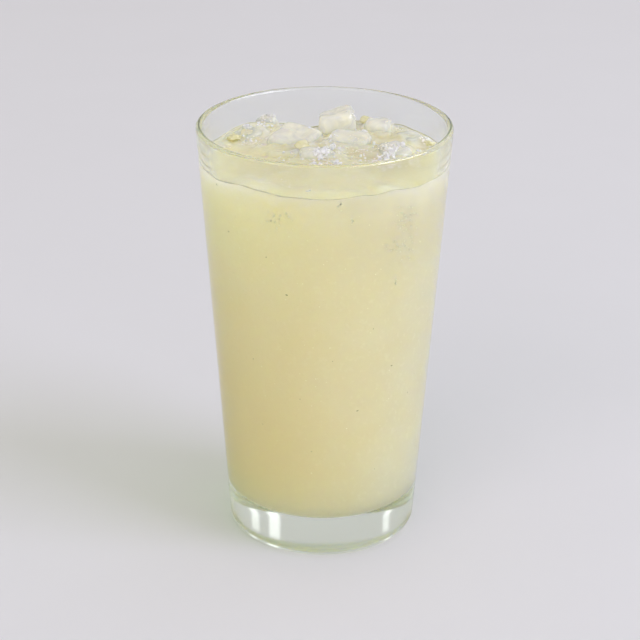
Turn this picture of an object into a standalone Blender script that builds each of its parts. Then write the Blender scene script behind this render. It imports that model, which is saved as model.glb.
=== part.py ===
"""Tall tapered tumbler of pale, cloudy, iced fruit drink.

Metres, +Z up. The origin is the centre of the foot, on the surface that the glass stands on,
and -Y is the front. The glass is one turned solid with a heavy base. The drink fills it up to an
uneven surface, and is cut round the half-melted pieces of ice that stand out of that surface.
"""

import math

import bmesh
import bpy
from mathutils import Euler, Matrix, Vector, noise

MM = 0.001

# The glass
HEIGHT = 140 * MM
RIM_RADIUS = 40.5 * MM
FOOT_RADIUS = 31.06 * MM  # where the straight side would meet the table without its corner
WALL = 2.1 * MM
BASE_THICKNESS = 14.0 * MM
OUTER_CORNER = 4.0 * MM
INNER_CORNER = 7.0 * MM
FOOT_RING_WIDTH = 3.5 * MM
PUNT_DEPTH = 0.6 * MM
PUNT_POWER = 12  # how flat the hollow is before it comes down to the ring

# The drink
FIT_GAP = 0.3 * MM  # between the drink and the glass
ICE_GAP = 0.36 * MM  # between the drink and a piece of ice, a little more for its facets
LEVEL = 128.4 * MM  # lowest height of its edge on the near wall
SURFACE_RINGS = 15
RIPPLE_HEIGHT = 0.5 * MM
RIPPLE_LENGTH = 7.0 * MM

# Swells and hollows of the surface: x, y, reach, height, all in millimetres
SWELLS = (
    (-21, -27, 7, 1.6),
    (-33, 6, 9, 1.0),
    (-27, 24, 9, 1.6),
    (-4, 34, 8, -3.0),
    (25, 27, 9, 1.3),
    (35, 8, 8, 1.4),
    (20, -31, 5, 1.2),
    (10, -35, 4, 0.6),
    (2, -12, 9, 0.8),
    (-18, 23, 7, 2.0),
    (13, 24, 8, 2.0),
    (26, 14, 8, 1.2),
    (4, 8, 10, 1.0),
    (-14, 8, 8, 0.8),
)

# Pieces of ice: name, centre x and y, height of the top, three sides, turn and two tilts in
# degrees, and how square the piece still is; lengths in millimetres
ICE = (
    ("ice_left", -9.6, 15.4, 133.3, (15.0, 16.0, 16.0), -22, (11, 6), 6.0),
    ("ice_left_back", -18.5, 26.8, 133.9, (8.0, 7.2, 11.0), 26, (7, -12), 3.2),
    ("ice_far_left", -24.6, 18.0, 132.2, (9.6, 8.4, 12.0), 44, (4, -9), 4.0),
    ("ice_back", 4.5, 26.2, 136.3, (12.2, 12.0, 14.0), 3, (-4, -9), 5.0),
    ("ice_back_right", 17.1, 24.2, 134.4, (8.6, 11.5, 12.0), -6, (-4, 7), 4.0),
    ("ice_middle", 7.8, 13.2, 132.8, (14.0, 9.6, 12.0), -8, (12, 4), 4.5),
    ("ice_front", -2.4, 0.2, 131.8, (13.0, 9.6, 11.0), 14, (-4, 6), 3.4),
    ("ice_right", 22.2, 4.2, 131.8, (10.4, 11.0, 11.5), 24, (6, -7), 4.0),
    ("ice_far_right", 28.0, 14.4, 131.8, (7.5, 10.5, 10.5), 27, (-3, -5), 4.0),
)
ICE_CUTS = 4  # on each side of a cube, before it is rounded
MELT_DEPTH = 0.9 * MM
MELT_LENGTH = 7.5 * MM
MELT_SHIFT = Vector((7.3, 0, 0))  # between one piece's lumps and the next piece's
TOP_HOLLOW = 0.8 * MM  # the shallow dish melted into each upper face

# Facets
SEGMENTS = 72
MERGE_DISTANCE = 0.001 * MM
SHARP_ANGLE = math.radians(40)
CORNER_STEPS = 5
LIP_STEPS = 4  # from the side up to the top, and again down to the inside
PUNT_SHARES = (0, 0.8, 0.92, 1)  # of the way from the axis to the ring

TAPER = math.atan2(RIM_RADIUS - FOOT_RADIUS, HEIGHT)


def clear_scene():
    for item in list(bpy.data.objects):
        bpy.data.objects.remove(item)


def make_material(name, colour, roughness, transmission=0.0, ior=1.45):
    material = bpy.data.materials.new(name)
    material.use_nodes = True
    shader = material.node_tree.nodes["Principled BSDF"]
    shader.inputs["Base Color"].default_value = (*colour, 1)
    shader.inputs["Metallic"].default_value = 0.0
    shader.inputs["Roughness"].default_value = roughness
    shader.inputs["Transmission Weight"].default_value = transmission
    shader.inputs["IOR"].default_value = ior
    return material


def side_radius(z, depth=0.0):
    """Radius at height z of the outer side, or of a surface that lies this deep behind it."""
    return FOOT_RADIUS + z * math.tan(TAPER) - depth / math.cos(TAPER)


def arc(centre_r, centre_z, radius, start, end, steps):
    """Profile points on a round stretch; angles in degrees, 0 outward and 90 up."""
    points = []
    for step in range(steps + 1):
        angle = math.radians(start + (end - start) * step / steps)
        points.append((centre_r + radius * math.cos(angle), centre_z + radius * math.sin(angle)))
    return points


def rounded_corner(radius, floor, depth):
    """Points from the side down to the floor, round a corner that touches both."""
    centre_z = floor + radius
    centre_r = side_radius(centre_z, depth) - radius / math.cos(TAPER)
    return arc(centre_r, centre_z, radius, -math.degrees(TAPER), -90, CORNER_STEPS)


def punt():
    """Points of the hollow under the base, from the axis to the inner edge of the foot ring."""
    corner = rounded_corner(OUTER_CORNER, 0, 0)
    ring_inner = corner[-1][0] - FOOT_RING_WIDTH
    return [(ring_inner * share, PUNT_DEPTH * (1 - share ** PUNT_POWER)) for share in PUNT_SHARES]


def glass_profile():
    outer_corner = rounded_corner(OUTER_CORNER, 0, 0)
    inner_corner = rounded_corner(INNER_CORNER, BASE_THICKNESS, WALL)
    lip_z = HEIGHT - WALL / 2
    lip_r = side_radius(lip_z, WALL / 2)
    tilt = math.degrees(TAPER)
    lip = arc(lip_r, lip_z, WALL / 2, -tilt, 90, LIP_STEPS)
    lip += arc(lip_r, lip_z, WALL / 2, 90, 180 - tilt, LIP_STEPS)[1:]
    return punt() + outer_corner[::-1] + lip + inner_corner + [(0, BASE_THICKNESS)]


def drink_profile():
    floor = BASE_THICKNESS + FIT_GAP
    corner = rounded_corner(INNER_CORNER - FIT_GAP, floor, WALL + FIT_GAP)
    edge = side_radius(LEVEL, WALL + FIT_GAP)
    points = [(0, floor)] + corner[::-1]
    for ring in range(SURFACE_RINGS + 1):
        points.append((edge * (1 - ring / SURFACE_RINGS), LEVEL))
    return points


def turn(profile):
    """A closed turned mesh from a profile that starts and ends on the axis."""
    mesh = bmesh.new()
    points = [mesh.verts.new((r, 0, z)) for r, z in profile]
    edges = [mesh.edges.new(pair) for pair in zip(points, points[1:])]
    bmesh.ops.spin(mesh, geom=points + edges, axis=(0, 0, 1), cent=(0, 0, 0), steps=SEGMENTS,
                   angle=math.tau, use_merge=True)
    bmesh.ops.remove_doubles(mesh, verts=mesh.verts, dist=MERGE_DISTANCE)
    bmesh.ops.recalc_face_normals(mesh, faces=mesh.faces)
    return mesh


def surface_height(x, y):
    """Height of the drink's uneven surface."""
    height = LEVEL
    for swell_x, swell_y, reach, rise in SWELLS:
        distance = math.hypot(x - swell_x * MM, y - swell_y * MM)
        height += rise * MM * math.exp(-(distance / (reach * MM)) ** 2)
    return height + RIPPLE_HEIGHT * noise.noise(Vector((x, y, 0)) / RIPPLE_LENGTH)


def raise_surface(mesh):
    """Lifts the flat top of the drink to its uneven height and keeps its edge on the wall."""
    edge = side_radius(LEVEL, WALL + FIT_GAP)
    for point in mesh.verts:
        if point.co.z < LEVEL - MERGE_DISTANCE:
            continue
        at_wall = math.hypot(point.co.x, point.co.y) > edge - MERGE_DISTANCE
        point.co.z = surface_height(point.co.x, point.co.y)
        if at_wall:
            scale = side_radius(point.co.z, WALL + FIT_GAP) / edge
            point.co.x *= scale
            point.co.y *= scale


def melted_cube(sides, squareness, seed):
    """A cube whose edges and faces have melted: rounded, dished on top and a little lumpy."""
    mesh = bmesh.new()
    bmesh.ops.create_cube(mesh, size=2)
    bmesh.ops.subdivide_edges(mesh, edges=mesh.edges, cuts=ICE_CUTS, use_grid_fill=True)
    for point in mesh.verts:
        shape = point.co.copy()
        spread = sum(abs(value) ** squareness for value in shape) ** (1 / squareness)
        shape /= spread
        dish = max(0.0, shape.z) * max(0.0, 1 - shape.x ** 2) * max(0.0, 1 - shape.y ** 2)
        position = Vector(value * side * MM / 2 for value, side in zip(shape, sides))
        position.z -= TOP_HOLLOW * dish
        lump = noise.noise(position / MELT_LENGTH + seed * MELT_SHIFT)
        point.co = position * (1 + MELT_DEPTH * lump / position.length)
    return mesh


def place(mesh, x, y, top, turned, tilts):
    """Turns and tilts a piece of ice and moves it so that its highest point is at the top."""
    angles = Euler((math.radians(tilts[0]), math.radians(tilts[1]), math.radians(turned)))
    mesh.transform(angles.to_matrix().to_4x4())
    highest = max(point.co.z for point in mesh.verts)
    mesh.transform(Matrix.Translation((x * MM, y * MM, top * MM - highest)))


def grown(mesh, distance):
    """A copy of a mesh whose surface stands this far outside it."""
    larger = mesh.copy()
    larger.normal_update()
    for point in larger.verts:
        point.co += point.normal * distance
    return larger


def add_object(name, mesh, material):
    data = bpy.data.meshes.new(name)
    mesh.to_mesh(data)
    mesh.free()
    item = bpy.data.objects.new(name, data)
    bpy.context.scene.collection.objects.link(item)
    if material:
        data.materials.append(material)
    data.shade_smooth()
    data.set_sharp_from_angle(angle=SHARP_ANGLE)
    return item


def add_glass():
    clear = make_material("clear_glass", (0.96, 0.98, 0.96), 0.02, 1.0, 1.5)
    return add_object("glass", turn(glass_profile()), clear)


def add_drink():
    cloudy = make_material("cloudy_drink", (0.70, 0.63, 0.36), 0.25)
    mesh = turn(drink_profile())
    raise_surface(mesh)
    return add_object("drink", mesh, cloudy)


def add_ice(drink):
    """Adds each piece of ice, and cuts the drink round it."""
    clear = make_material("wet_ice", (0.88, 0.90, 0.86), 0.08, 0.8, 1.31)
    for seed, (name, x, y, top, sides, turned, tilts, squareness) in enumerate(ICE):
        mesh = melted_cube(sides, squareness, seed)
        place(mesh, x, y, top, turned, tilts)
        cutter = add_object("cut_" + name, grown(mesh, ICE_GAP), None)
        cutter.hide_render = True
        cutter.display_type = "WIRE"
        add_object(name, mesh, clear)
        cut = drink.modifiers.new("round_" + name, "BOOLEAN")
        cut.operation = "DIFFERENCE"
        cut.solver = "EXACT"
        cut.object = cutter


def main():
    clear_scene()
    add_glass()
    add_ice(add_drink())


main()
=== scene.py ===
import math
import random

import bmesh
import bpy
from mathutils import Euler, Matrix, Vector, noise
from mathutils.bvhtree import BVHTree


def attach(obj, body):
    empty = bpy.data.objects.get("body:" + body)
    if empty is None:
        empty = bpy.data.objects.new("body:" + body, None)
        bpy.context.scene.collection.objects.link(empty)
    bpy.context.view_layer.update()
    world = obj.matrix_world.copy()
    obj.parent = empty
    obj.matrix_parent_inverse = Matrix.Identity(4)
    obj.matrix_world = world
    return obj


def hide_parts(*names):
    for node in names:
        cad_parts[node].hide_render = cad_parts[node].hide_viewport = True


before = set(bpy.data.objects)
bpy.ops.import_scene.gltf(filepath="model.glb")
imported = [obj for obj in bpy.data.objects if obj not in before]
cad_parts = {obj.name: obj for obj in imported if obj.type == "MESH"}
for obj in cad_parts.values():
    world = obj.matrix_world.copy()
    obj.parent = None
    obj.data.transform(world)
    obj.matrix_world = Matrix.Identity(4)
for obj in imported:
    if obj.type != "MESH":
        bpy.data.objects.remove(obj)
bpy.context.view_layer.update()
scene = bpy.context.scene
mm = 0.001  # every size below is in millimetres


# Camera: placed by its distance from a point on the glass's axis
cameraSettings = {
    "lens": 101.25,
    "sensorWidth": 36.0,
    "nearClip": 10.0,
    "distance": 592.6,
    "aimHeight": 70.0,
    "elevation": 24.43,
    "yaw": -0.10,
    "pitch": 0.21,
    "roll": 0.47,
}


def turnedTogether(first, second, angle):
    # turns two unit directions in their own plane
    cosine, sine = math.cos(angle), math.sin(angle)
    return first * cosine + second * sine, second * cosine - first * sine


def addCamera(s):
    rise, yaw, pitch, roll = (math.radians(s[key]) for key in ("elevation", "yaw", "pitch", "roll"))
    forward = Vector((0, math.cos(rise), -math.sin(rise)))
    side = Vector((1, 0, 0))
    place = Vector((0, 0, s["aimHeight"])) - forward * s["distance"]
    up = side.cross(forward)
    forward, side = turnedTogether(forward, side, yaw)
    forward, up = turnedTogether(forward, up, pitch)
    side, up = turnedTogether(side, up, roll)
    data = bpy.data.cameras.new("photoCamera")
    data.lens = s["lens"]
    data.sensor_width = s["sensorWidth"]
    data.clip_start = s["nearClip"] * mm
    camera = bpy.data.objects.new("photoCamera", data)
    scene.collection.objects.link(camera)
    turned = Matrix((side, up, -forward)).transposed().to_4x4()
    camera.matrix_world = Matrix.Translation(place * mm) @ turned
    scene.camera = camera


addCamera(cameraSettings)
print("camera placed")


# Helpers for materials
def newMaterial(name):
    material = bpy.data.materials.new(name)
    material.use_nodes = True
    material.node_tree.nodes.clear()
    return material, material.node_tree


def addNode(tree, kind, inputs=None, **settings):
    node = tree.nodes.new(kind)
    for key, value in settings.items():
        setattr(node, key, value)
    for key, value in (inputs or {}).items():
        if isinstance(value, bpy.types.NodeSocket):
            tree.links.new(value, node.inputs[key])
        else:
            node.inputs[key].default_value = value
    return node


def noiseValue(tree, size, detail=2.0, stretch=(1, 1, 1), distortion=0.0):
    # a noise whose blobs are about this many millimetres across
    place = addNode(tree, "ShaderNodeTexCoord").outputs["Object"]
    mapped = addNode(tree, "ShaderNodeMapping", {"Vector": place, "Scale": stretch}).outputs[0]
    made = addNode(tree, "ShaderNodeTexNoise", {
        "Vector": mapped, "Scale": 1 / (size * mm), "Detail": detail, "Distortion": distortion})
    return made.outputs[0]


def spread(tree, value, low, high, start=0.0, end=1.0):
    made = addNode(tree, "ShaderNodeMapRange", {
        "Value": value, "From Min": low, "From Max": high, "To Min": start, "To Max": end})
    return made.outputs[0]


def mixed(tree, share, first, second, how="MIX"):
    made = addNode(tree, "ShaderNodeMix", {0: share}, data_type="RGBA", blend_type=how)
    for place, colour in ((6, first), (7, second)):
        if isinstance(colour, bpy.types.NodeSocket):
            tree.links.new(colour, made.inputs[place])
        else:
            made.inputs[place].default_value = (*colour, 1)
    return made.outputs[2]


def multiplied(tree, first, second):
    return addNode(tree, "ShaderNodeMath", {0: first, 1: second}, operation="MULTIPLY").outputs[0]


def sidePlace(tree, axis, low, high):
    # 0 to 1 along one axis, between two places given in millimetres
    place = addNode(tree, "ShaderNodeTexCoord").outputs["Object"]
    parts = addNode(tree, "ShaderNodeSeparateXYZ", {"Vector": place}).outputs
    return spread(tree, parts[axis], low * mm, high * mm)


def bumped(tree, height, distance):
    return addNode(tree, "ShaderNodeBump", {"Height": height, "Distance": distance * mm}).outputs[0]


def principled(tree, inputs):
    return addNode(tree, "ShaderNodeBsdfPrincipled", inputs).outputs[0]


def lampsThrough(tree, surface, tint):
    # rays from the lamps pass, dimmed by the tint, so that they reach what is behind
    path = addNode(tree, "ShaderNodeLightPath").outputs["Is Shadow Ray"]
    clear = addNode(tree, "ShaderNodeBsdfTransparent", {"Color": (*tint, 1)}).outputs[0]
    return addNode(tree, "ShaderNodeMixShader", {0: path, 1: surface, 2: clear}).outputs[0]


def setOutput(tree, surface, volume=None):
    made = addNode(tree, "ShaderNodeOutputMaterial", {"Surface": surface})
    if volume:
        tree.links.new(volume, made.inputs["Volume"])


# Helpers for meshes; they are modelled in millimetres and made metres at the end
def finishPiece(name, mesh, materials, replaced=(), sharp=40):
    mesh.transform(Matrix.Scale(mm, 4))
    data = bpy.data.meshes.new(name)
    mesh.to_mesh(data)
    mesh.free()
    for material in materials:
        data.materials.append(material)
    data.shade_smooth()
    data.set_sharp_from_angle(angle=math.radians(sharp))
    piece = bpy.data.objects.new(name, data)
    scene.collection.objects.link(piece)
    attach(piece, "root")
    if replaced:
        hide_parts(*replaced)
    return piece


def joinMesh(mesh, extra):
    data = bpy.data.meshes.new("extra")
    extra.to_mesh(data)
    extra.free()
    mesh.from_mesh(data)
    bpy.data.meshes.remove(data)


def arcPoints(centreR, centreZ, radius, start, end, steps):
    angles = [math.radians(start + (end - start) * step / steps) for step in range(steps + 1)]
    return [(centreR + radius * math.cos(a), centreZ + radius * math.sin(a)) for a in angles]


def spinProfile(profile, segments, closed=False, mergeWithin=0.0004):
    mesh = bmesh.new()
    corners = [mesh.verts.new((r, 0, z)) for r, z in profile]
    pairs = list(zip(corners, corners[1:]))
    if closed:
        pairs.append((corners[-1], corners[0]))
    edges = [mesh.edges.new(pair) for pair in pairs]
    bmesh.ops.spin(mesh, geom=corners + edges, axis=(0, 0, 1), cent=(0, 0, 0), steps=segments,
                   angle=math.tau, use_merge=True)
    bmesh.ops.remove_doubles(mesh, verts=mesh.verts, dist=mergeWithin)
    bmesh.ops.recalc_face_normals(mesh, faces=mesh.faces)
    return mesh


# The tumbler: a straight taper, a rounded lip and a heavy base with a shallow hollow under it
tumblerSizes = {
    "height": 140.0,
    "rimRadius": 40.5,
    "footRadius": 31.06,  # where the straight side would meet the table without its corner
    "wall": 2.1,
    "base": 14.0,
    "outerCorner": 4.0,
    "innerCorner": 7.0,
    "footRing": 3.5,
    "hollow": 0.6,
    "hollowPower": 12,  # how flat the hollow is before it comes down to the ring
    "cornerSteps": 14,
    "lipSteps": 10,
    "hollowSteps": 24,
    "segments": 288,
}
taper = math.atan2(tumblerSizes["rimRadius"] - tumblerSizes["footRadius"], tumblerSizes["height"])


def sideRadius(z, depth=0.0):
    # radius of the outer side at this height, or of a surface this deep behind it
    return tumblerSizes["footRadius"] + z * math.tan(taper) - depth / math.cos(taper)


def cornerPoints(radius, floor, depth):
    centreZ = floor + radius
    centreR = sideRadius(centreZ, depth) - radius / math.cos(taper)
    return arcPoints(centreR, centreZ, radius, -math.degrees(taper), -90, tumblerSizes["cornerSteps"])


def tumblerProfile(s):
    outer = cornerPoints(s["outerCorner"], 0, 0)
    inner = cornerPoints(s["innerCorner"], s["base"], s["wall"])
    ringInner = outer[-1][0] - s["footRing"]
    shares = [step / s["hollowSteps"] for step in range(s["hollowSteps"] + 1)]
    under = [(ringInner * share, s["hollow"] * (1 - share ** s["hollowPower"])) for share in shares]
    lipZ, half, tilt = s["height"] - s["wall"] / 2, s["wall"] / 2, math.degrees(taper)
    lip = arcPoints(sideRadius(lipZ, half), lipZ, half, -tilt, 180 - tilt, 2 * s["lipSteps"])
    return under + outer[::-1] + lip + inner + [(0, s["base"])]


glassLook = {
    "tint": (0.975, 0.99, 0.98),
    "index": 1.5,
    "roughness": 0.1,  # old pressed glass isn't quite smooth, so lamps show in it with soft edges
    "throughTint": (0.97, 0.985, 0.97),  # for light on its way in
    "depthColour": (0.72, 0.86, 0.78),
    "depthDensity": 6.0,
    "waveSize": 24.0,
    "waveDepth": 0.03,
}


def clearGlass(s):
    material, tree = newMaterial("clearGlass")
    waves = noiseValue(tree, s["waveSize"], 1.0, (1, 1, 0.5))
    surface = principled(tree, {
        "Base Color": (*s["tint"], 1), "Roughness": s["roughness"], "IOR": s["index"],
        "Transmission Weight": 1.0, "Normal": bumped(tree, waves, s["waveDepth"])})
    depth = addNode(tree, "ShaderNodeVolumeAbsorption", {
        "Color": (*s["depthColour"], 1), "Density": s["depthDensity"]}).outputs[0]
    setOutput(tree, lampsThrough(tree, surface, s["throughTint"]), depth)
    return material


tumblerMesh = spinProfile(tumblerProfile(tumblerSizes), tumblerSizes["segments"])
finishPiece("tumbler", tumblerMesh, [clearGlass(glassLook)], ["glass"])
print("tumbler made")


# The ice: melted cubes, from the left round to the right
iceSettings = {
    "cuts": 19,
    "meltDepth": 0.9,
    "meltLength": 7.5,
    "meltShift": 7.3,  # between one piece's lumps and the next piece's
    "topHollow": 0.8,
    "pitDepth": 0.12,
    "pitLength": 3.0,
    # x, y and height of the top, three sides, turn, two tilts and how square it still is
    "pieces": {
        "ice_left": (-9.6, 15.4, 133.3, (15.0, 16.0, 16.0), -22, (11, 6), 6.0),
        "ice_left_back": (-18.5, 26.8, 133.9, (8.0, 7.2, 11.0), 26, (7, -12), 3.2),
        "ice_far_left": (-24.6, 18.0, 132.2, (9.6, 8.4, 12.0), 44, (4, -9), 4.0),
        "ice_back": (4.5, 26.2, 136.3, (12.2, 12.0, 14.0), 3, (-4, -9), 5.0),
        "ice_back_right": (17.1, 24.2, 134.4, (8.6, 11.5, 12.0), -6, (-4, 7), 4.0),
        "ice_middle": (7.8, 13.2, 132.8, (14.0, 9.6, 12.0), -8, (12, 4), 4.5),
        "ice_front": (-2.4, 0.2, 131.8, (13.0, 9.6, 11.0), 14, (-4, 6), 3.4),
        "ice_right": (22.2, 4.2, 131.8, (10.4, 11.0, 11.5), 24, (6, -7), 4.0),
        "ice_far_right": (28.0, 14.4, 131.8, (7.5, 10.5, 10.5), 27, (-3, -5), 4.0),
    },
}


def meltedCube(s, sides, squareness, seed):
    mesh = bmesh.new()
    bmesh.ops.create_cube(mesh, size=2)
    bmesh.ops.subdivide_edges(mesh, edges=mesh.edges, cuts=s["cuts"], use_grid_fill=True)
    shift = Vector((s["meltShift"] * seed, 0, 0))
    for point in mesh.verts:
        shape = point.co / sum(abs(value) ** squareness for value in point.co) ** (1 / squareness)
        dish = max(0.0, shape.z) * max(0.0, 1 - shape.x ** 2) * max(0.0, 1 - shape.y ** 2)
        place = Vector([value * side / 2 for value, side in zip(shape, sides)])
        place.z -= s["topHollow"] * dish
        lump = s["meltDepth"] * noise.noise(place / s["meltLength"] + shift)
        pits = s["pitDepth"] * noise.noise(place / s["pitLength"] + shift)
        point.co = place * (1 + (lump + pits) / place.length)
    return mesh


def placedIce(s, name, seed):
    x, y, top, sides, turn, tilts, squareness = s["pieces"][name]
    mesh = meltedCube(s, sides, squareness, seed)
    angles = Euler((math.radians(tilts[0]), math.radians(tilts[1]), math.radians(turn)))
    mesh.transform(angles.to_matrix().to_4x4())
    mesh.transform(Matrix.Translation((x, y, top - max(point.co.z for point in mesh.verts))))
    mesh.normal_update()
    return mesh


iceLook = {
    "clear": (0.875, 0.865, 0.86),
    "milky": (0.85, 0.825, 0.70),
    "white": (0.95, 0.945, 0.935),
    "lilac": (0.93, 0.89, 0.90),
    "index": 1.31,
    "cloudSize": 6.0,
    "whiteFrom": (0.4, 0.62),  # share of cloud at which it starts to whiten and is whitest
    "dullFrom": (0.42, 0.66),  # the same for how clear it is
    "pitSize": 1.8,
    "pitDepth": 0.1,
    "roughness": (0.04, 0.15),
    "clearness": (0.4, 0.05),  # of a cube where it is clearest and where it is cloudiest
    "chipClearness": (0.2, 0.0),
    "scatterTint": (1.0, 1.0, 0.85),  # how far red, green and blue light go in it, as shares
    "scatter": 5.0,
    "chipScatter": 1.2,
    "throughTint": (0.95, 0.95, 0.92),
}


def wetIce(s, name, first, second, clearness, scatter):
    material, tree = newMaterial(name)
    cloud = noiseValue(tree, s["cloudSize"], 3.0, distortion=0.6)
    pits = noiseValue(tree, s["pitSize"], 3.0)
    surface = principled(tree, {
        "Base Color": mixed(tree, spread(tree, cloud, *s["whiteFrom"]), first, second),
        "Roughness": spread(tree, pits, 0.3, 0.7, *s["roughness"]), "IOR": s["index"],
        "Transmission Weight": spread(tree, cloud, *s["dullFrom"], *clearness),
        "Subsurface Weight": 1.0, "Subsurface Radius": s["scatterTint"], "Subsurface Scale": scatter * mm,
        "Normal": bumped(tree, pits, s["pitDepth"])})
    setOutput(tree, lampsThrough(tree, surface, s["throughTint"]))
    return material


# The drink: full up to an uneven surface; the sunk part of the ice lies inside it, where nobody sees it
drinkSettings = {
    "level": 128.4,
    "reach": 0.2,  # how far it goes into the wall, so that no air shows
    "segments": 400,
    "ringStep": 0.45,
    "fineStep": 0.12,  # of the rings next to the wall
    "fineRings": 12,
    "rippleHeight": 0.5,
    "rippleLength": 7.0,
    "lumpHeight": 0.7,
    "frontHeight": 0.07,
    "lumpLength": 4.0,
    "lumpMargin": 1.5,  # how far from the wall the lumps start to flatten
    "bankHeight": 1.3,  # of the slush against the ice
    "bankReach": 2.4,
    "bankMargin": 4.0,
    "slushMiddle": (0.0, 14.0),
    "slushReach": (34.0, 24.0),
    "surfaceDepth": 0.15,  # within which a face counts as surface
    "clingHeight": 0.55,  # where it climbs the wall
    "clingWidth": 0.6,
    # swells and hollows of the surface: x, y, reach and height
    "swells": (
        (-21, -27, 7, 1.6), (-33, 6, 9, 1.0), (-27, 24, 9, 1.6), (-4, 34, 8, -3.0), (25, 27, 9, 1.3),
        (35, 8, 8, 1.4), (20, -31, 5, 1.2), (10, -35, 4, 0.6), (2, -12, 9, 0.8), (-18, 23, 7, 2.0),
        (13, 24, 8, 2.0), (26, 14, 8, 1.2), (4, 8, 10, 1.0), (-14, 8, 8, 0.8),
    ),
}


def iceDistance(x, y):
    # to the side of the nearest piece, 0 inside it
    nearest = 100.0
    for pieceX, pieceY, _, sides, turn, _, squareness in iceSettings["pieces"].values():
        place = Vector((x - pieceX, y - pieceY, 0))
        place.rotate(Euler((0, 0, -math.radians(turn))))
        across, along = (abs(2 * value / side) ** squareness for value, side in zip(place[:2], sides))
        share = (across + along) ** (1 / squareness)
        nearest = min(nearest, (share - 1) * min(sides[:2]) / 2)
    return max(nearest, 0.0)


def calmHeight(x, y):
    s = drinkSettings
    height = s["level"] + s["rippleHeight"] * noise.noise(Vector((x, y, 0)) / s["rippleLength"])
    for swellX, swellY, reach, rise in s["swells"]:
        height += rise * math.exp(-((x - swellX) ** 2 + (y - swellY) ** 2) / reach ** 2)
    return height


def surfaceHeight(x, y):
    s = drinkSettings
    height = calmHeight(x, y)
    toWall = max(0.0, sideRadius(height, tumblerSizes["wall"] - s["reach"]) - math.hypot(x, y))
    away = math.hypot(*[(value - middle) / reach for value, middle, reach
                        in zip((x, y), s["slushMiddle"], s["slushReach"])])
    slush = max(0.0, min(1.0, 3.0 - 3.0 * away))
    rise = s["frontHeight"] + (s["lumpHeight"] - s["frontHeight"]) * slush
    lumps = noise.fractal(Vector((x, y, 5.0)) / s["lumpLength"], 1.0, 2.0, 3)
    height += rise * lumps * min(1.0, toWall / s["lumpMargin"])
    bank = s["bankHeight"] * math.exp(-iceDistance(x, y) / s["bankReach"])
    height += bank * min(1.0, toWall / s["bankMargin"])
    return height + s["clingHeight"] * math.exp(-toWall / s["clingWidth"])


def drinkProfile(s):
    depth = tumblerSizes["wall"] - s["reach"]
    floor = tumblerSizes["base"] - s["reach"]
    corner = cornerPoints(tumblerSizes["innerCorner"] + s["reach"], floor, depth)
    edge = sideRadius(s["level"], depth)
    fine = [(edge - s["fineStep"] * ring, s["level"]) for ring in range(s["fineRings"] + 1)]
    rings = int(fine[-1][0] / s["ringStep"])
    coarse = [(fine[-1][0] * (1 - ring / rings), s["level"]) for ring in range(1, rings + 1)]
    return [(0, floor)] + corner[::-1] + fine + coarse


def raiseSurface(s, mesh):
    depth = tumblerSizes["wall"] - s["reach"]
    edge = sideRadius(s["level"], depth)
    for point in mesh.verts:
        if point.co.z > s["level"] - 0.01:
            atWall = math.hypot(point.co.x, point.co.y) > edge - 0.01
            point.co.z = surfaceHeight(point.co.x, point.co.y)
            if atWall:
                scale = sideRadius(point.co.z, depth) / edge
                point.co.x *= scale
                point.co.y *= scale


def markSurface(mesh):
    # the second material is for the wet surface under the open air, the third for the flat underside
    for face in mesh.faces:
        middle = face.calc_center_median()
        onTop = abs(middle.z - surfaceHeight(middle.x, middle.y)) < drinkSettings["surfaceDepth"]
        below = middle.z < tumblerSizes["base"]
        face.material_index = 1 if onTop else 2 if below else 0


drinkLook = {
    "leftPale": (0.88, 0.815, 0.58),
    "leftYellow": (0.86, 0.785, 0.52),
    "rightPalePaintedShade": (0.725, 0.68, 0.50),
    "rightYellowPaintedShade": (0.705, 0.65, 0.44),
    "across": (-36, 36),  # from left to right; the right colours are darker, painted shade where the window light is strongest
    "high": (0.665, 0.615, 0.475),  # painted shade: darker where the light from the window is strongest
    "windowShadeUp": (98, 122),
    "windowShadeAcross": (-20, 20),
    "warm": (0.74, 0.61, 0.33),  # at the lower left, darker and warmer: painted shade on the side away from the window
    "warmShadeDown": (115, 15),
    "warmShadeAcross": (34, -34),
    "brinkShade": (0.86, 0.85, 0.79),  # just under the level at the front, where light comes from above
    "brinkUp": (122, 128),
    "brinkForward": (-20, -36),
    "rightShade": (0.86, 0.86, 0.84),  # on the right half of the surface
    "rightAcross": (8, 30),
    "fleck": (0.90, 0.86, 0.68),
    "grain": (0.68, 0.63, 0.38),
    # painted light: the flat underside is paler than the drink and glows faintly
    "under": (0.93, 0.885, 0.76),
    "underPaintedLight": 0.85,
    "underPaintedGlow": 0.06,  # painted light: a faint glow of its own, standing in for light that comes down through the drink
    "surfacePale": (0.77, 0.735, 0.50),
    "surfaceYellow": (0.75, 0.70, 0.41),
    "slush": (0.80, 0.775, 0.64),
    "slushUp": (128.8, 130.4),
    "slushPatch": 6.0,
    "cloudSize": 22.0,
    "pulpSize": 1.6,
    "grainSize": 0.7,
    "throughTint": (0.20, 0.42, 0.0),
    "scatterTint": (1.0, 0.85, 0.4),
    "scatter": 80.0,
    "surfaceScatter": 20.0,
    "surfaceRoughness": 0.22,
    "surfaceIndex": 1.36,
    "surfaceLumps": 0.08,
}


def drinkColour(tree, s, pale, yellow):
    cloud = noiseValue(tree, s["cloudSize"], 2.0, distortion=0.5)
    pulp = noiseValue(tree, s["pulpSize"], 2.0)
    grain = noiseValue(tree, s["grainSize"], 2.0)
    base = mixed(tree, spread(tree, cloud, 0.3, 0.7), pale, yellow)
    flecked = mixed(tree, spread(tree, pulp, 0.55, 0.8, 0, 0.3), base, s["fleck"])
    return mixed(tree, spread(tree, grain, 0.6, 0.85, 0, 0.4), flecked, s["grain"])


# the last two settings paint light onto a part: a paler colour and a glow of its own
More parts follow.
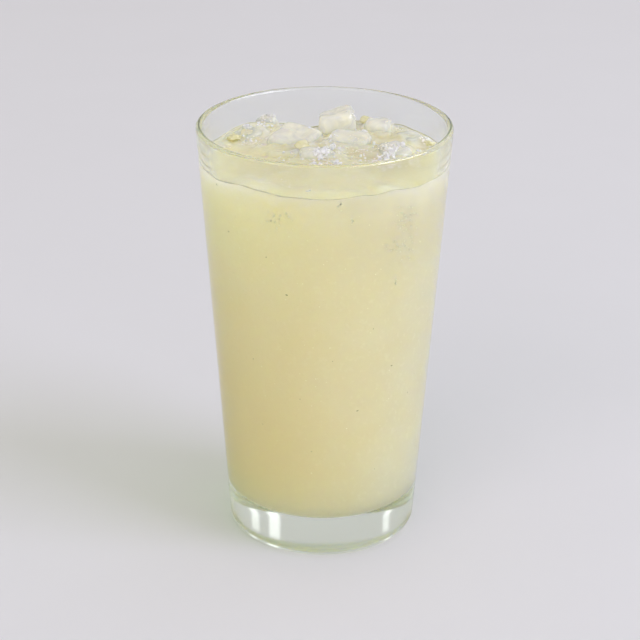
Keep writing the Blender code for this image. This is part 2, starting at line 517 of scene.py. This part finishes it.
def cloudyDrink(s, name, paintedLightShare=0.0, paintedGlow=0.0):
    material, tree = newMaterial(name)
    # painted light and shade: the drink is painted darker towards the right, where the window light falls
    across = sidePlace(tree, 0, *s["across"])
    pale = mixed(tree, across, s["leftPale"], s["rightPalePaintedShade"])
    yellow = mixed(tree, across, s["leftYellow"], s["rightYellowPaintedShade"])
    # painted shade in the upper middle, where the window light is strongest
    high = multiplied(tree, sidePlace(tree, 2, *s["windowShadeUp"]), sidePlace(tree, 0, *s["windowShadeAcross"]))
    # painted shade at the lower left, away from the window
    low = multiplied(tree, sidePlace(tree, 2, *s["warmShadeDown"]), sidePlace(tree, 0, *s["warmShadeAcross"]))
    brink = multiplied(tree, sidePlace(tree, 2, *s["brinkUp"]), sidePlace(tree, 1, *s["brinkForward"]))
    colour = mixed(tree, high, drinkColour(tree, s, pale, yellow), s["high"])
    colour = mixed(tree, low, colour, s["warm"])
    colour = mixed(tree, brink, colour, s["brinkShade"], "MULTIPLY")
    surface = principled(tree, {
        "Base Color": mixed(tree, paintedLightShare, colour, s["under"]),
        "Roughness": 0.5, "Specular IOR Level": 0.0, "Subsurface Weight": 1.0,
        "Subsurface Radius": s["scatterTint"], "Subsurface Scale": s["scatter"] * mm,
        "Emission Color": (*s["under"], 1), "Emission Strength": paintedGlow})
    setOutput(tree, lampsThrough(tree, surface, s["throughTint"]))
    return material


def wetSurface(s, name):
    material, tree = newMaterial(name)
    lumps = noiseValue(tree, s["pulpSize"], 2.0)
    patches = spread(tree, noiseValue(tree, s["slushPatch"], 3.0, distortion=0.8), 0.35, 0.6)
    slush = multiplied(tree, sidePlace(tree, 2, *s["slushUp"]), patches)
    liquid = drinkColour(tree, s, s["surfacePale"], s["surfaceYellow"])
    liquid = mixed(tree, sidePlace(tree, 0, *s["rightAcross"]), liquid, s["rightShade"], "MULTIPLY")
    surface = principled(tree, {
        "Base Color": mixed(tree, slush, liquid, s["slush"]),
        "Roughness": s["surfaceRoughness"], "IOR": s["surfaceIndex"], "Subsurface Weight": 1.0,
        "Subsurface Radius": s["scatterTint"], "Subsurface Scale": s["surfaceScatter"] * mm,
        "Normal": bumped(tree, lumps, s["surfaceLumps"])})
    setOutput(tree, lampsThrough(tree, surface, s["throughTint"]))
    return material


clearIce = wetIce(
    iceLook, "wetIce", iceLook["clear"], iceLook["milky"], iceLook["clearness"], iceLook["scatter"])
drinkBody = cloudyDrink(drinkLook, "cloudyDrink")
# painted light on the flat underside: a paler colour and a faint glow
drinkUnder = cloudyDrink(drinkLook, "paintedLightUnderside", drinkLook["underPaintedLight"], drinkLook["underPaintedGlow"])
drinkTop = wetSurface(drinkLook, "wetSurface")


topTrees = []  # the ice and the drink, to find how high the contents stand at a place


def topHeight(x, y):
    hits = [tree.ray_cast(Vector((x, y, 200)), Vector((0, 0, -1)))[0] for tree in topTrees]
    return max([hit.z for hit in hits if hit] + [drinkSettings["level"]])


def makeIceAndDrink():
    for seed, name in enumerate(iceSettings["pieces"]):
        mesh = placedIce(iceSettings, name, seed)
        pieceName = "ice" + name.replace("ice_", "").replace("_", " ").title().replace(" ", "")
        topTrees.append(BVHTree.FromBMesh(mesh))
        finishPiece(pieceName, mesh, [clearIce], [name])
    mesh = spinProfile(drinkProfile(drinkSettings), drinkSettings["segments"])
    raiseSurface(drinkSettings, mesh)
    markSurface(mesh)
    topTrees.append(BVHTree.FromBMesh(mesh))
    finishPiece("aguaFresca", mesh, [drinkBody, drinkTop, drinkUnder], ["drink"])


makeIceAndDrink()
print("ice and drink made")


# Where the drink meets the wall: a thin line of clinging liquid, painted dark as painted shade along the
# level
levelLineSettings = {
    "tubeRadius": 0.2,
    "tubeSides": 8,
    "segments": 400,
    # painted shade: far darker than the drink that clings there
    "colour": (0.48, 0.46, 0.31),
    "shadeSize": 3.0,
}


def makeLevelLine(s):
    depth = tumblerSizes["wall"] - drinkSettings["reach"]
    level = drinkSettings["level"]
    radius = sideRadius(level, depth)
    sides = s["tubeSides"]
    profile = arcPoints(radius, level, s["tubeRadius"], 0, 360 - 360 / sides, sides - 1)
    mesh = spinProfile(profile, s["segments"], closed=True)
    for point in mesh.verts:
        angle = math.atan2(point.co.y, point.co.x)
        edge = Vector((math.cos(angle), math.sin(angle))) * radius
        height = surfaceHeight(edge.x, edge.y)
        grown = sideRadius(height, depth) / radius
        point.co = Vector((point.co.x * grown, point.co.y * grown, point.co.z + height - level))
    material, tree = newMaterial("clingingLiquidShade")
    shade = noiseValue(tree, s["shadeSize"], 2.0)
    colour = mixed(tree, spread(tree, shade, 0.3, 0.7, 0, 0.6), s["colour"], drinkLook["leftYellow"])
    setOutput(tree, principled(tree, {"Base Color": colour, "Roughness": 0.3, "Specular IOR Level": 0.2}))
    finishPiece("levelLine", mesh, [material])


makeLevelLine(levelLineSettings)
print("level line made")


# What floats between the cubes: crushed ice, froth and lumps of pulp
def addBlob(mesh, place, size, turn, generator, rough, segments=8, rings=5):
    blob = bmesh.new()
    bmesh.ops.create_uvsphere(blob, u_segments=segments, v_segments=rings, radius=0.5)
    angles = Euler([generator.uniform(0, math.tau) for _ in range(3)]) if turn else Euler()
    shift = Vector([generator.uniform(0, 50) for _ in range(3)])
    for point in blob.verts:
        lump = 1 + rough * noise.noise(point.co * 3 + shift)
        stretched = Vector([value * side * lump for value, side in zip(point.co, size)])
        stretched.rotate(angles)
        point.co = stretched + place
    joinMesh(mesh, blob)


def scattered(generator, patches, margin):
    # places in the patches, as long as they keep this far from the wall
    widest = sideRadius(drinkSettings["level"], tumblerSizes["wall"]) - margin
    for x, y, reach, count, size in patches:
        for _ in range(count):
            placeX, placeY = generator.gauss(x, reach * 0.5), generator.gauss(y, reach * 0.5)
            if math.hypot(placeX, placeY) < widest:
                yield placeX, placeY, size * generator.uniform(0.5, 1.2)


chipSettings = {
    "seed": 11,
    "margin": 1.4,
    "rise": (-0.2, 0.15),  # of the middle above the surface, as a share of the size
    "lumpiness": 0.5,
    # x, y, reach, number and size of each patch of crushed ice
    "patches": (
        (-0.5, -1.5, 3.2, 34, 1.7), (-2.9, -8.5, 2.4, 14, 1.4), (2.7, 4.5, 2.4, 16, 1.5),
        (3.9, -7.0, 2.2, 18, 1.5), (21.3, 0.5, 3.2, 30, 1.7), (18.5, -2.5, 2.2, 12, 1.4),
        (24.2, 4.2, 2.0, 12, 1.3), (-24.3, 20.0, 2.4, 14, 1.6), (-19.5, 21.5, 2.6, 14, 1.4),
        (-24.5, 12.2, 2.6, 12, 1.1), (-17.5, 27.0, 2.4, 10, 1.3), (33.0, 12.5, 2.4, 12, 1.2),
        (12.5, 18.9, 2.2, 8, 1.2), (16.8, 10.8, 2.0, 8, 1.1), (-4.3, -30.9, 0.7, 4, 1.1),
        (9.0, 22.0, 3.0, 6, 1.0), (2.0, 12.0, 3.0, 8, 1.2), (12.0, 2.0, 5.0, 10, 1.0),
        (-10.0, -2.0, 5.0, 8, 0.9), (30.0, 3.0, 3.0, 8, 1.0),
    ),
}


def makeChips(s):
    generator = random.Random(s["seed"])
    mesh = bmesh.new()
    for x, y, side in scattered(generator, s["patches"], s["margin"]):
        sides = [side * generator.uniform(0.6, 1.2) for _ in range(3)]
        place = Vector((x, y, topHeight(x, y) + side * generator.uniform(*s["rise"])))
        addBlob(mesh, place, sides, True, generator, s["lumpiness"])
    look = iceLook
    white = wetIce(
        look, "crushedIce", look["white"], look["lilac"], look["chipClearness"], look["chipScatter"])
    finishPiece("crushedIce", mesh, [white], sharp=25)


softLook = {
    "roughness": 0.2,
    "index": 1.33,
    "pitSize": 1.2,
    "pitDepth": 0.05,
}


def softStuff(s, name, first, second, cloudSize):
    material, tree = newMaterial(name)
    shade = noiseValue(tree, cloudSize, 2.0)
    pits = noiseValue(tree, s["pitSize"], 2.0)
    setOutput(tree, principled(tree, {
        "Base Color": mixed(tree, spread(tree, shade, 0.4, 0.6), first, second),
        "Roughness": s["roughness"], "IOR": s["index"], "Normal": bumped(tree, pits, s["pitDepth"])}))
    return material


frothSettings = {
    "seed": 5,
    "margin": 0.7,
    "flatness": 0.6,
    "sink": 0.05,
    "warm": (0.90, 0.86, 0.68),
    "pink": (0.92, 0.87, 0.85),
    "cloudSize": 7.0,
    # x, y, reach, number and size of each patch of froth
    "patches": (
        (19.0, -8.6, 4.0, 80, 0.75), (16.5, -3.0, 3.5, 50, 0.8), (20.0, 3.0, 4.0, 40, 0.7),
        (-24.0, 13.0, 5.0, 50, 0.6), (33.5, 10.0, 3.0, 60, 0.8), (-1.0, -6.0, 6.0, 80, 0.6),
        (-16.0, -6.0, 7.0, 50, 0.5), (28.0, -6.0, 4.0, 40, 0.6), (-33.0, 5.0, 3.0, 40, 0.6),
        (8.0, 6.0, 8.0, 60, 0.6), (-20.0, 26.0, 4.0, 30, 0.7), (25.0, 22.0, 5.0, 30, 0.7),
        (10.0, -18.0, 9.0, 40, 0.45), (-10.0, -22.0, 9.0, 30, 0.45),
    ),
}


def makeFroth(s):
    generator = random.Random(s["seed"])
    mesh = bmesh.new()
    for x, y, size in scattered(generator, s["patches"], s["margin"]):
        place = Vector((x, y, topHeight(x, y) - size * s["sink"]))
        addBlob(mesh, place, (size, size, size * s["flatness"]), False, generator, 0.0)
    froth = softStuff(softLook, "froth", s["warm"], s["pink"], s["cloudSize"])
    finishPiece("froth", mesh, [froth])


pulpSettings = {
    "seed": 3,
    "sink": 0.12,
    "lumpiness": 0.5,
    "segments": 32,
    "rings": 20,
    "first": (0.73, 0.69, 0.40),
    "second": (0.77, 0.73, 0.50),
    "cloudSize": 3.0,
    # x, y, length, width and height of each lump
    "lumps": (
        (-7.0, 4.4, 5.2, 4.6, 3.6), (-28.8, 14.0, 4.6, 3.4, 2.2),
        (13.6, 27.5, 4.0, 3.4, 2.6), (33.6, 8.5, 3.0, 3.4, 1.8),
    ),
}


def makePulp(s):
    generator = random.Random(s["seed"])
    mesh = bmesh.new()
    for x, y, length, width, height in s["lumps"]:
        place = Vector((x, y, surfaceHeight(x, y) + height * s["sink"]))
        addBlob(mesh, place, (length, width, height), False, generator, s["lumpiness"],
                segments=s["segments"], rings=s["rings"])
    pulp = softStuff(softLook, "pulp", s["first"], s["second"], s["cloudSize"])
    finishPiece("pulpLumps", mesh, [pulp])


# On the wall: small bubbles that cling to it and dark specks of the fruit
wallSettings = {
    "seed": 7,
    # painted reflection: the bubbles are real, their pale colour stands in for the light they throw back
    "bubbleGlintColour": (0.93, 0.91, 0.72),
    "speckColour": (0.30, 0.28, 0.11),
    "proud": 0.04,  # how far they come into the glass
    "flatness": 0.3,
    "shadeSize": 2.0,
    "roughness": 0.4,
    "scatter": 2.0,
    "aboveBase": 6.0,  # how far bubbles keep from the inside corner and the level
    "belowLevel": 0.6,
    # turn and spread, height and spread, number and size of each patch of bubbles
    "bubbles": (
        (-77.0, 0.4, 121.0, 1.6, 4, 1.0), (-48.0, 4.5, 118.5, 3.4, 34, 0.8),
        (-50.0, 5.0, 108.8, 2.6, 24, 0.75), (-110.0, 3.0, 121.5, 1.6, 16, 0.7),
        (-83.0, 1.0, 126.8, 0.6, 5, 0.8), (-52.7, 0.2, 97.8, 0.9, 4, 0.7),
        (-90.0, 50.0, 105.0, 14.0, 50, 0.42), (-90.0, 50.0, 60.0, 25.0, 40, 0.4),
    ),
    # turn, height and size of each speck
    "specks": (
        (-147.8, 127.0, 0.9), (-140.8, 112.8, 0.55), (-108.0, 96.3, 0.75), (-70.7, 55.4, 0.6),
        (-51.3, 69.1, 0.55), (-36.6, 56.3, 0.6), (-129.0, 71.0, 0.4), (-96.0, 41.0, 0.4),
        (-64.0, 84.0, 0.4), (-118.0, 108.0, 0.4), (-85.0, 74.0, 0.35), (-102.0, 60.0, 0.35),
        (-58.0, 32.0, 0.4), (-125.0, 48.0, 0.35), (60.0, 90.0, 0.6), (110.0, 50.0, 0.5),
        (160.0, 100.0, 0.6), (10.0, 70.0, 0.5),
    ),
}


def wallPlace(turn, height, size):
    depth = tumblerSizes["wall"] - drinkSettings["reach"]
    radius = sideRadius(height, depth) + wallSettings["proud"] - size * wallSettings["flatness"] / 2
    return Vector((radius * math.cos(math.radians(turn)), radius * math.sin(math.radians(turn)), height))


def addMark(mesh, turn, height, size, long, generator):
    # a flat blob against the wall
    blob = bmesh.new()
    bmesh.ops.create_uvsphere(blob, u_segments=8, v_segments=6, radius=0.5)
    facing = Matrix.Rotation(math.radians(turn), 3, "Z")
    lean = Matrix.Rotation(generator.uniform(0, math.tau), 3, "X")
    for point in blob.verts:
        flat = Vector((point.co.x * wallSettings["flatness"], point.co.y, point.co.z * long)) * size
        point.co = facing @ (lean @ flat) + wallPlace(turn, height, size)
    joinMesh(mesh, blob)


def makeWallMarks(s):
    generator = random.Random(s["seed"])
    bubbles, specks = bmesh.new(), bmesh.new()
    lowest, highest = tumblerSizes["base"] + s["aboveBase"], drinkSettings["level"] - s["belowLevel"]
    for turn, turnSpread, height, heightSpread, count, size in s["bubbles"]:
        for _ in range(count):
            place = generator.gauss(turn, turnSpread), generator.gauss(height, heightSpread)
            if lowest < place[1] < highest:
                addMark(bubbles, *place, size * generator.uniform(0.5, 1.2), 1.0, generator)
    for turn, height, size in s["specks"]:
        addMark(specks, turn, height, size, generator.uniform(1.0, 1.8), generator)
    marks = (("wallBubbles", bubbles, s["bubbleGlintColour"]), ("fruitSpecks", specks, s["speckColour"]))
    for name, mesh, colour in marks:
        material, tree = newMaterial(name)
        shade = noiseValue(tree, s["shadeSize"], 2.0)
        varied = mixed(tree, spread(tree, shade, 0.3, 0.7, 0, 0.5), colour, drinkLook["leftYellow"])
        setOutput(tree, principled(tree, {
            "Base Color": varied, "Roughness": s["roughness"], "Subsurface Weight": 1.0,
            "Subsurface Radius": drinkLook["scatterTint"], "Subsurface Scale": s["scatter"] * mm}))
        finishPiece(name, mesh, [material])


makeChips(chipSettings)
makeFroth(frothSettings)
makePulp(pulpSettings)
makeWallMarks(wallSettings)
print("crushed ice, froth, pulp and wall marks made")


# The studio: a pale floor, a soft sky, a window at the right, a wide soft panel at the left front and
# three narrow lamps behind, which show as white bars in the base
studioSettings = {
    "floorColour": (0.775, 0.768, 0.808),
    "floorStain": (0.6, 0.6, 0.6),
    "floorStainShare": 0.04,
    "floorPatch": 60.0,
    "floorReach": 4000.0,
    "floorDrop": 0.03,  # so that the foot rests on it with a thin gap of air, as a real one does
    "skyColour": (0.94, 0.91, 0.875),
    "skyStrength": 0.683,
    # turn from +X, rise, distance, width, height, watts and colour of each lamp
    "lamps": {
        "windowPaneNear": (-32.6, 39.5, 2600.0, 600.0, 1500.0, 10.4, (0.92, 0.99, 1.2)),
        "windowPaneFar": (-15.4, 39.5, 2600.0, 600.0, 1500.0, 10.4, (0.92, 0.99, 1.2)),
        "softPanel": (-120.0, 30.0, 5000.0, 3600.0, 3600.0, 54.0, (1.04, 1.0, 0.89)),
        "slitLeft": (52.5, 20.6, 3000.0, 300.0, 1121.0, 0.85, (1.0, 1.0, 1.0)),
        "slitMiddle": (66.5, 20.7, 3000.0, 300.0, 1131.0, 0.92, (1.0, 1.0, 1.0)),
        "slitRight": (126.0, 20.35, 3000.0, 240.0, 1095.0, 0.72, (1.0, 1.0, 1.0)),
    },
    # the same of those that only shine on wet and glassy surfaces
    "highlights": {
        "rimLightNear": (-43.5, 39.5, 2600.0, 1590.0, 900.0, 27.0, (1.0, 0.98, 0.98)),
        "rimLightFar": (-3.5, 39.5, 2600.0, 1840.0, 900.0, 31.0, (1.0, 0.98, 0.98)),
    },
}


def addFloor(s):
    mesh = bmesh.new()
    bmesh.ops.create_grid(mesh, x_segments=1, y_segments=1, size=s["floorReach"] * mm)
    data = bpy.data.meshes.new("floor")
    mesh.to_mesh(data)
    mesh.free()
    material, tree = newMaterial("paleFloor")
    shade = spread(tree, noiseValue(tree, s["floorPatch"], 3.0), 0.3, 0.7, 0, s["floorStainShare"])
    colour = mixed(tree, shade, s["floorColour"], s["floorStain"])
    setOutput(tree, principled(tree, {"Base Color": colour, "Roughness": 0.8, "Specular IOR Level": 0.1}))
    data.materials.append(material)
    floor = bpy.data.objects.new("floor", data)
    floor.location.z = -s["floorDrop"] * mm
    scene.collection.objects.link(floor)


def addLamp(name, turn, rise, distance, width, height, power, colour):
    turn, rise = math.radians(turn), math.radians(rise)
    towards = Vector((math.cos(turn) * math.cos(rise), math.sin(turn) * math.cos(rise), math.sin(rise)))
    data = bpy.data.lights.new(name, "AREA")
    data.shape = "RECTANGLE"
    data.size, data.size_y = width * mm, height * mm
    data.energy = power
    data.color = colour
    lamp = bpy.data.objects.new(name, data)
    scene.collection.objects.link(lamp)
    lamp.location = towards * distance * mm
    lamp.rotation_euler = towards.to_track_quat("Z", "Y").to_euler()
    lamp.visible_camera = False
    return lamp


def addSky(s):
    world = bpy.data.worlds.new("softSky")
    world.use_nodes = True
    world.node_tree.nodes.clear()
    sky = addNode(world.node_tree, "ShaderNodeBackground", {
        "Color": (*s["skyColour"], 1), "Strength": s["skyStrength"]}).outputs[0]
    addNode(world.node_tree, "ShaderNodeOutputWorld", {"Surface": sky})
    scene.world = world


addFloor(studioSettings)
for lampName, lampRow in studioSettings["lamps"].items():
    addLamp(lampName, *lampRow)
for lampName, lampRow in studioSettings["highlights"].items():
    highlight = addLamp(lampName, *lampRow)
    highlight.visible_diffuse = highlight.visible_transmission = False
addSky(studioSettings)
scene.view_settings.view_transform = "Standard"
scene.cycles.max_bounces = 32  # light caught in the wall is reflected many times
scene.cycles.glossy_bounces = 24
scene.cycles.transmission_bounces = 24
scene.cycles.transparent_max_bounces = 24
print("studio lit")
